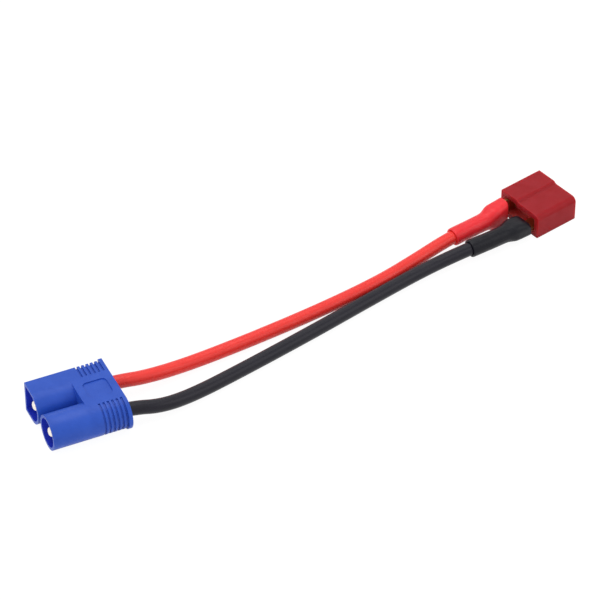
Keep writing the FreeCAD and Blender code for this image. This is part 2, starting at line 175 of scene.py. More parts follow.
@dataclass
class NodeBoard:
    """A material's node tree with short ways to add and join nodes.

    Args:
        name: The material's name.
    """

    name: str
    material: bpy.types.Material = field(init=False)
    output: bpy.types.Node = field(init=False)
    shader: bpy.types.Node = field(init=False)
    place: bpy.types.NodeSocket = field(init=False)

    def __post_init__(self) -> None:
        """Starts the tree with a Principled shader and Object coordinates."""
        self.material = bpy.data.materials.new(self.name)
        self.material.use_nodes = True
        tree = self.material.node_tree
        tree.nodes.clear()
        self.output = tree.nodes.new("ShaderNodeOutputMaterial")
        self.shader = tree.nodes.new("ShaderNodeBsdfPrincipled")
        tree.links.new(self.shader.outputs["BSDF"], self.output.inputs["Surface"])
        self.place = tree.nodes.new("ShaderNodeTexCoord").outputs["Object"]

    def add(self, kind: str, **settings: object) -> bpy.types.Node:
        """Adds one node and sets its properties.

        Args:
            kind: The node's Blender type.
            settings: Properties to set on it.

        Returns:
            The new node.
        """
        node = self.material.node_tree.nodes.new(kind)
        for key, value in settings.items():
            setattr(node, key, value)
        return node

    def join(self, source: bpy.types.NodeSocket, target: bpy.types.NodeSocket) -> None:
        """Links one socket to another."""
        self.material.node_tree.links.new(source, target)

    def mapped(
        self,
        scale: Sequence[float],
        turn: float = 0.0,
        centre: Sequence[float] = (0.0, 0.0, 0.0),
    ) -> bpy.types.NodeSocket:
        """Object coordinates about a centre, turned about Z and scaled.

        Args:
            scale: Scale along each axis, in pattern units per metre.
            turn: Turn about Z, in degrees.
            centre: The pattern's centre, in metres.

        Returns:
            The mapped coordinates.
        """
        node = self.add("ShaderNodeMapping", vector_type="TEXTURE")
        node.inputs["Location"].default_value = centre
        node.inputs["Rotation"].default_value = (0.0, 0.0, math.radians(turn))
        node.inputs["Scale"].default_value = tuple(1.0 / value for value in scale)
        self.join(self.place, node.inputs["Vector"])
        return node.outputs["Vector"]

    def noise(
        self,
        coordinates: bpy.types.NodeSocket,
        detail: float = 3.0,
        roughness: float = 0.5,
    ) -> bpy.types.NodeSocket:
        """Noise over the given coordinates, one blob to a unit.

        Args:
            coordinates: Where the noise is read.
            detail: How many finer layers it has.
            roughness: How strong the finer layers are.

        Returns:
            The noise value, from 0 to 1.
        """
        node = self.add("ShaderNodeTexNoise")
        node.inputs["Scale"].default_value = 1.0
        node.inputs["Detail"].default_value = detail
        node.inputs["Roughness"].default_value = roughness
        self.join(coordinates, node.inputs["Vector"])
        return node.outputs["Fac"]

    def spread(
        self,
        value: bpy.types.NodeSocket,
        low: float,
        high: float,
        start: float = 0.3,
        end: float = 0.7,
    ) -> bpy.types.NodeSocket:
        """Stretches a value from one range to another.

        Args:
            value: The value to stretch.
            low: What the range's start becomes.
            high: What the range's end becomes.
            start: The range's start.
            end: The range's end.

        Returns:
            The stretched value.
        """
        node = self.add("ShaderNodeMapRange")
        node.inputs["From Min"].default_value = start
        node.inputs["From Max"].default_value = end
        node.inputs["To Min"].default_value = low
        node.inputs["To Max"].default_value = high
        self.join(value, node.inputs["Value"])
        return node.outputs["Result"]

    def blend(
        self,
        share: bpy.types.NodeSocket,
        first: Sequence[float],
        second: Sequence[float],
    ) -> bpy.types.NodeSocket:
        """Blends two colours by a value.

        Args:
            share: How much of the second colour is taken, from 0 to 1.
            first: The first colour.
            second: The second colour.

        Returns:
            The blended colour.
        """
        node = self.add("ShaderNodeMix", data_type="RGBA")
        node.inputs["A"].default_value = (*first, 1.0)
        node.inputs["B"].default_value = (*second, 1.0)
        self.join(share, node.inputs["Factor"])
        return node.outputs[2]

    def let_light_in(self, weight: float, reach: Sequence[float]) -> None:
        """Lets light scatter a little way under the skin.

        Args:
            weight: The share of light that enters.
            reach: How far each colour goes, in millimetres.
        """
        self.shader.inputs["Subsurface Weight"].default_value = weight
        self.shader.inputs["Subsurface Radius"].default_value = tuple(reach)
        self.shader.inputs["Subsurface Scale"].default_value = MM

    def relief(
        self,
        heights: Sequence[tuple[bpy.types.NodeSocket, float]],
    ) -> None:
        """Adds bump to the shader from height values.

        Args:
            heights: Pairs of a height value and its depth, in metres.
        """
        normal: Optional[bpy.types.NodeSocket] = None
        for height, depth in heights:
            node = self.add("ShaderNodeBump")
            node.inputs["Strength"].default_value = 1.0
            node.inputs["Distance"].default_value = depth
            self.join(height, node.inputs["Height"])
            if normal is not None:
                self.join(normal, node.inputs["Normal"])
            normal = node.outputs["Normal"]
        if normal is not None:
            self.join(normal, self.shader.inputs["Normal"])


# Finishes


@dataclass(frozen=True)
class MouldedNylon:
    """Satin moulded nylon with a faint cloudy tone and a fine skin.

    Args:
        name: The material's name.
        colour: Its main colour.
        shade: The colour of its darker clouds.
        roughness: How dull the skin is.
        specular: How strongly the skin reflects.
        glow: The share of light that enters the nylon.
        glow_reach: How far each colour goes inside, in millimetres.
        cloud_scale: Clouds to a metre.
        grain_scale: Grains of the skin to a metre.
    """

    name: str
    colour: tuple[float, float, float]
    shade: tuple[float, float, float]
    roughness: float = 0.40
    specular: float = 0.25
    glow: float = 0.0
    glow_reach: tuple[float, float, float] = (1.0, 0.15, 0.12)
    cloud_scale: float = 260.0
    grain_scale: float = 2600.0

    def material(self) -> bpy.types.Material:
        """Builds the material.

        Returns:
            The material with its node tree.
        """
        board = NodeBoard(self.name)
        cloud = board.noise(board.mapped((self.cloud_scale,) * 3), 4.0)
        grain = board.noise(board.mapped((self.grain_scale,) * 3), 2.0)
        board.join(board.blend(board.spread(cloud, 0.0, 1.0), self.colour, self.shade),
                   board.shader.inputs["Base Color"])
        board.join(board.spread(cloud, self.roughness - 0.05, self.roughness + 0.07),
                   board.shader.inputs["Roughness"])
        board.shader.inputs["Specular IOR Level"].default_value = self.specular
        board.let_light_in(self.glow, self.glow_reach)
        board.relief([(grain, 0.000012), (cloud, 0.00004)])
        return board.material


@dataclass(frozen=True)
class Silicone:
    """Smooth soft silicone with a waxy sheen and long faint waves.

    Args:
        name: The material's name.
        colour: Its main colour.
        shade: The colour of its darker clouds.
        roughness: How dull the skin is.
        specular: How strongly the skin reflects.
        wave_scale: Waves to a metre, along the wire and across it.
    """

    name: str
    colour: tuple[float, float, float]
    shade: tuple[float, float, float]
    roughness: float = 0.36
    specular: float = 0.25
    wave_scale: tuple[float, float, float] = (180.0, 320.0, 320.0)

    def material(self) -> bpy.types.Material:
        """Builds the material.

        Returns:
            The material with its node tree.
        """
        board = NodeBoard(self.name)
        wave = board.noise(board.mapped(self.wave_scale), 3.0)
        board.join(board.blend(board.spread(wave, 0.0, 1.0), self.colour, self.shade),
                   board.shader.inputs["Base Color"])
        board.join(board.spread(wave, self.roughness - 0.04, self.roughness + 0.06),
                   board.shader.inputs["Roughness"])
        board.shader.inputs["Specular IOR Level"].default_value = self.specular
        board.relief([(wave, 0.00005)])
        return board.material


@dataclass(frozen=True)
class ShrunkSleeve:
    """Shrunk tubing: a fine dull skin that follows what lies under it.

    Args:
        name: The material's name.
        colour: Its main colour.
        shade: The colour of its darker clouds.
        roughness: How dull the skin is.
        specular: How strongly the skin reflects.
        glow: The share of light that enters the wall.
        glow_reach: How far each colour goes inside, in millimetres.
        pucker_scale: Puckers to a metre.
        grain_scale: Grains of the skin to a metre.
    """

    name: str
    colour: tuple[float, float, float]
    shade: tuple[float, float, float]
    roughness: float = 0.42
    specular: float = 0.22
    glow: float = 0.0
    glow_reach: tuple[float, float, float] = (1.0, 0.12, 0.10)
    pucker_scale: float = 420.0
    grain_scale: float = 3200.0

    def material(self) -> bpy.types.Material:
        """Builds the material.

        Returns:
            The material with its node tree.
        """
        board = NodeBoard(self.name)
        pucker = board.noise(board.mapped((self.pucker_scale,) * 3), 3.0)
        grain = board.noise(board.mapped((self.grain_scale,) * 3), 2.0)
        board.join(board.blend(board.spread(pucker, 0.0, 1.0), self.colour, self.shade),
                   board.shader.inputs["Base Color"])
        board.join(board.spread(pucker, self.roughness - 0.06, self.roughness + 0.08),
                   board.shader.inputs["Roughness"])
        board.shader.inputs["Specular IOR Level"].default_value = self.specular
        board.let_light_in(self.glow, self.glow_reach)
        board.relief([(grain, 0.00001), (pucker, 0.00014)])
        return board.material


@dataclass(frozen=True)
class PlatedMetal:
    """Turned or stamped metal under thin plating, with fine tool lines.

    Args:
        name: The material's name.
        colour: Its main colour.
        shade: The colour of its darker clouds.
        roughness: How dull the plating is.
        line_scale: Tool lines to a metre.
    """

    name: str
    colour: tuple[float, float, float]
    shade: tuple[float, float, float]
    roughness: float = 0.22
    line_scale: float = 4000.0

    def material(self) -> bpy.types.Material:
        """Builds the material.

        Returns:
            The material with its node tree.
        """
        board = NodeBoard(self.name)
        cloud = board.noise(board.mapped((600.0,) * 3), 3.0)
        lines = board.noise(board.mapped((self.line_scale, 40.0, 40.0)), 2.0)
        board.join(board.blend(board.spread(cloud, 0.0, 1.0), self.colour, self.shade),
                   board.shader.inputs["Base Color"])
        board.join(board.spread(lines, self.roughness - 0.05, self.roughness + 0.1),
                   board.shader.inputs["Roughness"])
        board.shader.inputs["Metallic"].default_value = 1.0
        board.relief([(lines, 0.000006)])
        return board.material


@dataclass(frozen=True)
class SolderBlob:
    """Dull silvery solder with a slightly pitted skin.

    Args:
        name: The material's name.
        colour: Its main colour.
        shade: The colour of its darker pits.
    """

    name: str
    colour: tuple[float, float, float] = (0.62, 0.61, 0.58)
    shade: tuple[float, float, float] = (0.40, 0.38, 0.34)

    def material(self) -> bpy.types.Material:
        """Builds the material.

        Returns:
            The material with its node tree.
        """
        board = NodeBoard(self.name)
        pits = board.noise(board.mapped((900.0,) * 3), 4.0)
        board.join(board.blend(board.spread(pits, 0.0, 1.0), self.colour, self.shade),
                   board.shader.inputs["Base Color"])
        board.join(board.spread(pits, 0.28, 0.5), board.shader.inputs["Roughness"])
        board.shader.inputs["Metallic"].default_value = 1.0
        board.relief([(pits, 0.00012)])
        return board.material


@dataclass(frozen=True)
class TinnedStrands:
    """A bundle of fine tinned strands that run along X.

    Args:
        name: The material's name.
        colour: The strands' colour.
        shade: The colour between them.
    """

    name: str
    colour: tuple[float, float, float] = (0.70, 0.62, 0.52)
    shade: tuple[float, float, float] = (0.35, 0.24, 0.16)

    def material(self) -> bpy.types.Material:
        """Builds the material.

        Returns:
            The material with its node tree.
        """
        board = NodeBoard(self.name)
        strands = board.noise(board.mapped((120.0, 5200.0, 5200.0)), 1.0)
        share = board.spread(strands, 0.0, 1.0, 0.42, 0.58)
        board.join(board.blend(share, self.shade, self.colour), board.shader.inputs["Base Color"])
        board.join(board.spread(strands, 0.25, 0.45), board.shader.inputs["Roughness"])
        board.shader.inputs["Metallic"].default_value = 1.0
        board.relief([(share, 0.00005)])
        return board.material


BLUE_NYLON = MouldedNylon(
    "blue_nylon", (0.024, 0.092, 0.520), (0.018, 0.076, 0.460), 0.42, 0.3)
# Painted shade: a darker, more saturated blue for the insides of the plug's chambers.
CHAMBER_PAINTED_SHADE = MouldedNylon(
    "chamber_painted_shade", (0.019, 0.043, 0.600), (0.014, 0.033, 0.520), 0.46, 0.22)
SOCKET_NYLON = MouldedNylon(
    "socket_nylon", (0.360, 0.012, 0.019), (0.325, 0.009, 0.014), 0.44, 0.15, 0.75,
    (3.4, 0.35, 0.30))
# Painted light: a much paler red for the inside of the socket's rear recess.
RECESS_PAINTED_LIGHT = MouldedNylon(
    "recess_painted_light", (0.660, 0.084, 0.080), (0.580, 0.066, 0.062), 0.55, 0.1, 0.6,
    (3.0, 0.60, 0.50))
RED_SILICONE = Silicone(
    "red_silicone", (0.920, 0.040, 0.031), (0.860, 0.032, 0.025), 0.34, 0.36)
BLACK_SILICONE = Silicone(
    "black_silicone", (0.008, 0.007, 0.014), (0.012, 0.011, 0.018), 0.33, 0.25)
RED_SHRINK = ShrunkSleeve(
    "red_shrink", (0.910, 0.030, 0.041), (0.840, 0.024, 0.033), 0.36, 0.30, 0.15)
BLACK_SHRINK = ShrunkSleeve(
    "black_shrink", (0.004, 0.004, 0.008), (0.007, 0.007, 0.011), 0.36, 0.20)
GOLD = PlatedMetal("contact_gold", (0.940, 0.880, 0.790), (0.880, 0.800, 0.690), 0.16)
SPRING_GOLD = PlatedMetal("spring_gold", (0.800, 0.590, 0.280), (0.720, 0.500, 0.220), 0.26)
PLATE_BRASS = PlatedMetal("plate_brass", (0.560, 0.400, 0.170), (0.420, 0.290, 0.120), 0.32, 900.0)
SOLDER = SolderBlob("solder")
STRANDS = TinnedStrands("tinned_strands")


# Studio


def seen_directly(tree: bpy.types.NodeTree) -> bpy.types.NodeSocket:
    """A value of 1 where the camera looks straight on, or by a mirror or through glass.

    Args:
        tree: The node tree that gets the nodes.

    Returns:
        The value's socket.
    """
    path = tree.nodes.new("ShaderNodeLightPath")
    value = path.outputs["Is Camera Ray"]
    for name in ("Is Glossy Ray", "Is Transmission Ray"):
        larger = tree.nodes.new("ShaderNodeMath")
        larger.operation = "MAXIMUM"
        tree.links.new(value, larger.inputs[0])
        tree.links.new(path.outputs[name], larger.inputs[1])
        value = larger.outputs[0]
    return value


@dataclass(frozen=True)
class Lamp:
    """One square soft lamp that faces the object.

    Args:
        name: The lamp's name.
        place: Where it stands, in metres.
        size: Its side, in metres.
        power: Its power, in watts.
    """

    name: str
    place: tuple[float, float, float]
    size: float
    power: float

    def build(self, target: Vector) -> None:
        """Adds the lamp, turned to a point.

        Args:
            target: The point that it faces, in metres.
        """
        data = bpy.data.lights.new(self.name, "AREA")
        data.shape = "SQUARE"
        data.size = self.size
        data.energy = self.power
        lamp = bpy.data.objects.new(self.name, data)
        bpy.context.collection.objects.link(lamp)
        lamp.location = self.place
        aim = target - Vector(self.place)
        lamp.rotation_euler = aim.to_track_quat("-Z", "Y").to_euler()


@dataclass
class Studio:
    """The pale floor, the soft lights and the camera.

    Args:
        camera_place: Where the camera stands, in metres.
        target: The point that it looks at, in metres.
        lens: Its focal length in millimetres, for a 36 mm sensor.
        glow_share: How much of the floor's tone is its own plain white.
        fill: How strongly the white surroundings light the object.
        lamps: A large top lamp and two weaker side lamps.
    """

    camera_place: Vector = field(default_factory=lambda: Vector((-0.23249, -0.63083, 0.60272)))
    target: Vector = field(default_factory=lambda: Vector((0.0705, 0.02151, 0.0)))
    lens: float = 198.0
    glow_share: float = 0.87
    fill: float = 0.55
    lamps: Sequence[Lamp] = (
        Lamp("lamp_top", (0.05, 0.25, 1.1), 0.9, 5.3),
        Lamp("lamp_left", (-0.95, -0.30, 0.60), 0.7, 3.0),
        Lamp("lamp_right", (0.85, -0.55, 0.6), 0.7, 1.8),
    )

    def build(self) -> None:
        """Builds the stage in order."""
        self.add_camera()
        self.add_floor()
        for lamp in self.lamps:
            lamp.build(self.target)
        self.add_world()
        bpy.context.scene.view_settings.view_transform = "Standard"

    def add_camera(self) -> None:
        """Adds the camera at the photograph's angle."""
        data = bpy.data.cameras.new("camera")
        data.lens = self.lens
        data.sensor_width = 36.0
        data.clip_start = 0.01
        data.clip_end = 50.0
        camera = bpy.data.objects.new("camera", data)
        bpy.context.collection.objects.link(camera)
        camera.location = self.camera_place
        camera.rotation_euler = (self.target - self.camera_place).to_track_quat("-Z", "Y").to_euler()
        bpy.context.scene.camera = camera

    def add_floor(self) -> None:
        """Adds a wide white floor that keeps the object's soft shadow."""
        bpy.ops.mesh.primitive_plane_add(size=8.0, location=(0.0, 0.0, 0.0))
        floor = bpy.context.active_object
        floor.name = "floor"
        board = NodeBoard("floor_white")
        tone = board.noise(board.mapped((3.0, 3.0, 3.0)), 1.0)
        board.join(board.blend(tone, (0.92, 0.92, 0.92), (0.93, 0.93, 0.93)),
                   board.shader.inputs["Base Color"])
        board.shader.inputs["Roughness"].default_value = 0.9
        board.shader.inputs["Specular IOR Level"].default_value = 0.05
        glow = board.add("ShaderNodeEmission")
        glow.inputs["Strength"].default_value = 1.08
        seen = board.add("ShaderNodeMath", operation="MULTIPLY")
        board.join(seen_directly(board.material.node_tree), seen.inputs[0])
        seen.inputs[1].default_value = self.glow_share
        mixed = board.add("ShaderNodeMixShader")
        board.join(seen.outputs[0], mixed.inputs[0])
        board.join(board.shader.outputs["BSDF"], mixed.inputs[1])
        board.join(glow.outputs["Emission"], mixed.inputs[2])
        board.join(mixed.outputs[0], board.output.inputs["Surface"])
        floor.data.materials.append(board.material)

    def add_world(self) -> None:
        """Sets a white world that also fills the shadows."""
        world = bpy.data.worlds.new("studio_world")
        world.use_nodes = True
        tree = world.node_tree
        tree.nodes.clear()
        output = tree.nodes.new("ShaderNodeOutputWorld")
        light = tree.nodes.new("ShaderNodeBackground")
        light.inputs["Color"].default_value = (1.0, 1.0, 1.0, 1.0)
        light.inputs["Strength"].default_value = self.fill
        backdrop = tree.nodes.new("ShaderNodeBackground")
        backdrop.inputs["Color"].default_value = (1.0, 1.0, 1.0, 1.0)
        backdrop.inputs["Strength"].default_value = 1.0
        mixed = tree.nodes.new("ShaderNodeMixShader")
        tree.links.new(seen_directly(tree), mixed.inputs[0])
        tree.links.new(light.outputs["Background"], mixed.inputs[1])
        tree.links.new(backdrop.outputs["Background"], mixed.inputs[2])
        tree.links.new(mixed.outputs[0], output.inputs["Surface"])
        bpy.context.scene.world = world


# Cable


def route_curve(name: str, route: Sequence[tuple[float, float, float]]) -> bpy.types.Curve:
    """A smooth curve over a route's control points.

    Args:
        name: The curve's name.
        route: The control points, in millimetres.

    Returns:
        The curve's data.
    """
    data = bpy.data.curves.new(name, "CURVE")
    data.dimensions = "3D"
    data.resolution_u = 24
    spline = data.splines.new("NURBS")
    spline.points.add(len(route) - 1)
    for point, place in zip(spline.points, route):
        point.co = (*(value * MM for value in place), 1.0)
    spline.order_u = 3
    spline.use_endpoint_u = True
    return data


@dataclass
class Wire:
    """One silicone wire as a smooth curve.

    Args:
        name: The piece's name.
        node: The solid that it stands for.
        slot: The record's material slot; not used.
        route: Its control points, in millimetres.
        length: Its real length, in millimetres.
        finish: Its silicone.
        diameter: Its diameter, in millimetres.
    """

    name: str
    node: str
    slot: str
    route: Sequence[tuple[float, float, float]]
    length: float
    finish: Silicone
    diameter: float = 4.0

    def build(self) -> bpy.types.Object:
        """Returns:
            The wire's curve object.
        """
        data = route_curve(self.name, self.route)
        data.bevel_depth = self.diameter / 2 * MM
        data.bevel_resolution = 10
        data.use_fill_caps = True
        piece = bpy.data.objects.new(self.name, data)
        bpy.context.collection.objects.link(piece)
        data.materials.append(self.finish.material())
        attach(piece, "root")
        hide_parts(self.node)
        LOG.info("wire %s of %.1f mm", self.name, self.length)
        return piece


RED_ROUTE = (
    (3.4, 5.8, 5.05),
    (8.1, 5.75, 4.9),
    (15.9, 5.3, 3.9),
    (28.9, 6.8, 2.45),
    (48.9, 9.2, 2.15),
    (72.9, 12.7, 2.15),
    (93.9, 17.0, 2.2),
    (108.4, 21.4, 2.7),
    (119.3, 24.5, 3.6),
    (130.029, 26.040, 4.3),
    (135.366, 27.371, 4.3),
)
BLACK_ROUTE = (
    (3.4, -5.8, 5.05),
    (8.0, -5.95, 4.8),
    (15.7, -7.1, 3.45),
    (26.0, -5.3, 2.3),
    (42.9, -1.1, 2.1),
    (66.9, 5.2, 2.1),
    (89.9, 11.8, 2.1),
    (107.4, 16.0, 2.7),
    (120.9, 17.6, 3.65),
    (132.377, 18.690, 4.05),
    (137.714, 20.020, 4.05),
)


# Sleeves


@dataclass(frozen=True)
class Ring:
    """One rounded outline across a wire, in millimetres.

    Args:
        back: Its distance back from the wire's end, negative beyond the end.
        side: Half its width, across the wire and level.
        rise: Half its height.
        corner: Its corner radius.
        aside: How far its middle lies to the far side of the wire.
        above: How far its middle lies above the wire.
    """

    back: float
    side: float
    rise: float
    corner: float
    aside: float = 0.0
    above: float = 0.0


@dataclass
class Sleeve:
    """A shrunk sleeve that follows a wire and widens over its tab.

    Args:
        name: The piece's name.
        node: The solid that it stands for.
        slot: The record's material slot; not used.
        route: The wire's control points, in millimetres.
        rings: Its outlines, from the free end to the socket.
        finish: Its skin.
        wall: Its wall, in millimetres.
        corner_steps: How many edges each rounded corner has.
    """

    name: str
    node: str
    slot: str
    route: Sequence[tuple[float, float, float]]
    rings: Sequence[Ring]
    finish: ShrunkSleeve
    wall: float = 0.5
    corner_steps: int = 7

    def line(self) -> list[Vector]:
        """Reads the wire's smooth line.

        Returns:
            Its points, in metres.
        """
        curve = route_curve(self.name + "_line", self.route)
        helper = bpy.data.objects.new(self.name + "_line", curve)
        bpy.context.collection.objects.link(helper)
        view = bpy.context.evaluated_depsgraph_get()
        mesh = bpy.data.meshes.new_from_object(helper.evaluated_get(view))
        points = [vertex.co.copy() for vertex in mesh.vertices]
        bpy.data.meshes.remove(mesh)
        bpy.data.objects.remove(helper)
        bpy.data.curves.remove(curve)
        return points

    def station(self, points: Sequence[Vector], back: float) -> tuple[Vector, Vector]:
        """The point and heading at a distance back from the wire's end.

        Args:
            points: The wire's line, in metres.
            back: The distance, in metres, negative beyond the end.

        Returns:
            The point and the unit heading.
        """
        heading = (points[-1] - points[-2]).normalized()
        if back <= 0:
            return points[-1] - heading * back, heading
        left = back
        for start, end in zip(reversed(points[:-1]), reversed(points[1:])):
            span = (end - start).length
            if left <= span:
                return end.lerp(start, left / span), (end - start).normalized()
            left -= span
        return points[0].copy(), (points[1] - points[0]).normalized()

    def add_ring(self, points: Sequence[Vector], ring: Ring) -> bpy.types.Object:
        """Adds one outline as a square with rounded corners and no face.

        Args:
            points: The wire's line, in metres.
            ring: The outline's sizes.

        Returns:
            The outline's object.
        """
        centre, heading = self.station(points, ring.back * MM)
        side = Vector((-heading.y, heading.x, 0.0)).normalized()
        up = heading.cross(side).normalized()
        centre = centre + side * (ring.aside * MM) + up * (ring.above * MM)
        turn = Matrix((side, up, heading)).transposed().to_euler()
        bpy.ops.object.select_all(action="DESELECT")
        bpy.ops.mesh.primitive_plane_add(size=2.0, location=centre, rotation=turn)
        outline = bpy.context.active_object
        outline.scale = (ring.side * MM, ring.rise * MM, 1.0)
        bpy.ops.object.transform_apply(location=True, rotation=True, scale=True)
        with editing(outline):
            bpy.ops.mesh.select_all(action="SELECT")
            corner = min(ring.corner, ring.side - 0.02, ring.rise - 0.02) * MM
            bpy.ops.mesh.bevel(offset=corner, segments=self.corner_steps, affect="VERTICES")
            bpy.ops.mesh.select_all(action="SELECT")
            bpy.ops.mesh.delete(type="ONLY_FACE")
        return outline

    def build(self) -> bpy.types.Object:
        """Returns:
            The sleeve's object.
        """
        points = self.line()
        outlines = [self.add_ring(points, ring) for ring in self.rings]
        count = len(outlines[0].data.vertices)
        bpy.ops.object.select_all(action="DESELECT")
        for outline in outlines:
            outline.select_set(True)
        piece = outlines[0]
        bpy.context.view_layer.objects.active = piece
        bpy.ops.object.join()
        piece.name = self.name
        with editing(piece):
            for first in range(0, count * (len(self.rings) - 1), count):
                span = range(first, first + 2 * count)
                pick(piece, Part.EDGES, lambda edge: not edge.link_faces
                     and all(corner.index in span for corner in edge.verts)
                     or len(edge.link_faces) == 1
                     and all(corner.index in range(first, first + count) for corner in edge.verts))
                bpy.ops.mesh.bridge_edge_loops()
            bpy.ops.mesh.select_all(action="SELECT")
            bpy.ops.mesh.normals_make_consistent(inside=False)
        single_out(piece)
        skin = piece.modifiers.new("wall", "SOLIDIFY")
        skin.thickness = self.wall * MM
        skin.offset = -1.0
        bpy.ops.object.modifier_apply(modifier=skin.name)
        with editing(piece):
            soften(piece, 0.09 * MM, 60.0, 2)
        finish_shape(piece, 50.0)
        piece.data.materials.append(self.finish.material())
        declare(piece, self.node)
        return piece


RED_RINGS = (
    Ring(15.1, 2.58, 2.58, 2.55),
    Ring(14.7, 2.68, 2.68, 2.64),
    Ring(12.4, 2.66, 2.66, 2.62),
    Ring(10.0, 2.64, 2.64, 2.60),
    Ring(7.6, 2.64, 2.64, 2.60),
    Ring(5.2, 2.65, 2.66, 2.60),
    Ring(3.9, 2.67, 2.69, 2.60),
    Ring(3.2, 2.69, 2.80, 2.50, 0.02),
    Ring(2.6, 2.71, 3.05, 2.35, 0.05),
    Ring(2.0, 2.74, 3.38, 2.20, 0.08),
    Ring(1.4, 2.77, 3.65, 2.10, 0.11),
    Ring(0.7, 2.78, 3.78, 2.00, 0.125),
    Ring(-0.6, 2.77, 3.80, 1.95, 0.14),
    Ring(-1.8, 2.64, 3.80, 1.85, 0.27),
    Ring(-3.0, 2.54, 3.79, 1.75, 0.365),
    Ring(-3.8, 2.42, 3.78, 1.60, 0.48),
    Ring(-4.5, 2.10, 3.74, 1.45, 0.80),
)
BLACK_RINGS = (
    Ring(15.3, 2.56, 2.56, 2.53),
    Ring(14.9, 2.66, 2.66, 2.62),
    Ring(12.6, 2.64, 2.64, 2.60),
    Ring(10.0, 2.62, 2.62, 2.58),
    Ring(7.4, 2.62, 2.62, 2.58),
    Ring(5.0, 2.63, 2.62, 2.58),
    Ring(3.4, 2.68, 2.64, 2.55, 0.0, -0.01),
    Ring(2.6, 2.76, 2.66, 2.40, 0.0, -0.03),
    Ring(1.8, 2.92, 2.70, 2.25, 0.0, -0.06),
    Ring(1.0, 3.12, 2.75, 2.05, 0.0, -0.10),
    Ring(0.2, 3.26, 2.77, 1.95, 0.0, -0.125),
    Ring(-1.4, 3.30, 2.68, 1.80, 0.0, -0.22),
    Ring(-2.6, 3.30, 2.57, 1.70, 0.0, -0.33),
    Ring(-3.6, 3.29, 2.42, 1.60, 0.0, -0.48),
    Ring(-4.5, 3.26, 2.10, 1.50, 0.0, -0.80),
)


# Housings


@dataclass
class PlugShell:
    """The blue plug, taken from its solid with all its edges softly rounded and a darker blue painted
    inside its chambers as shade.

    Args:
        node: The solid that it stands for.
        edge: The round's width, in millimetres.
        mouth: Where the shrouds' rims lie along X, in millimetres.
        floor: Where the chambers' floor lies along X.
        lip: How far behind the rims the painted shade starts.
        slack: How far from the chambers' floor a face may lie and still belong to it.
        turned_in: How much a wall's face has to point at its pin, from 0 to 1.
        pin_offset: How far each pin's axis lies from the middle.
        pin_height: The axes' height.
        finish: Its nylon.
        inner_painted_lighting: The deeper, darker blue inside the chambers, which is painted shade.
    """

    node: str = "plug_housing"
    edge: float = 0.14
    mouth: float = -17.15
    floor: float = -5.05
    lip: float = 0.25
    slack: float = 0.05
    turned_in: float = 0.2
    pin_offset: float = 5.8
    pin_height: float = 5.05
    finish: MouldedNylon = BLUE_NYLON
    # Darker blue for the chambers: painted shade.
    inner_painted_lighting: MouldedNylon = CHAMBER_PAINTED_SHADE

    def in_chamber(self, face: bmesh.types.BMFace) -> bool:
        """Whether a face belongs to a chamber: it faces its pin, or it is the floor.

        Args:
            face: The face.

        Returns:
            True for a chamber's wall or floor.
        """
        middle = face.calc_center_median() / MM
        axis = math.copysign(self.pin_offset, middle.y)
        outwards = Vector((0.0, middle.y - axis, middle.z - self.pin_height)).normalized()
        if not self.mouth + self.lip < middle.x < self.floor + self.slack:
            return False
        return face.normal.dot(outwards) < -self.turned_in or middle.x > self.floor - self.slack

    def build(self, frame: dict) -> bpy.types.Object:
        """Copies the solid, joins its loose triangles, rounds its edges and paints the chambers a
        darker blue as shade.

        Returns:
            The plug's object.
        """
        solid = frame["nodes"][self.node]
        piece = solid.copy()
        piece.data = solid.data.copy()
        piece.name = "plug_shell"
        bpy.context.collection.objects.link(piece)
        piece.data.materials.clear()
        piece.data.materials.append(self.finish.material())
        piece.data.materials.append(self.inner_painted_lighting.material())
        with editing(piece):
            bpy.ops.mesh.select_all(action="SELECT")
            bpy.ops.mesh.remove_doubles(threshold=1e-6)
            bpy.ops.mesh.dissolve_limited(angle_limit=math.radians(0.5))
            soften(piece, self.edge * MM, 30.0, 3)
            # The chambers' walls and floor get the darker blue, as painted shade.
            pick(piece, Part.FACES, self.in_chamber)
            piece.active_material_index = 1
            bpy.ops.object.material_slot_assign()
        finish_shape(piece, 32.0)
        declare(piece, self.node)
        return piece


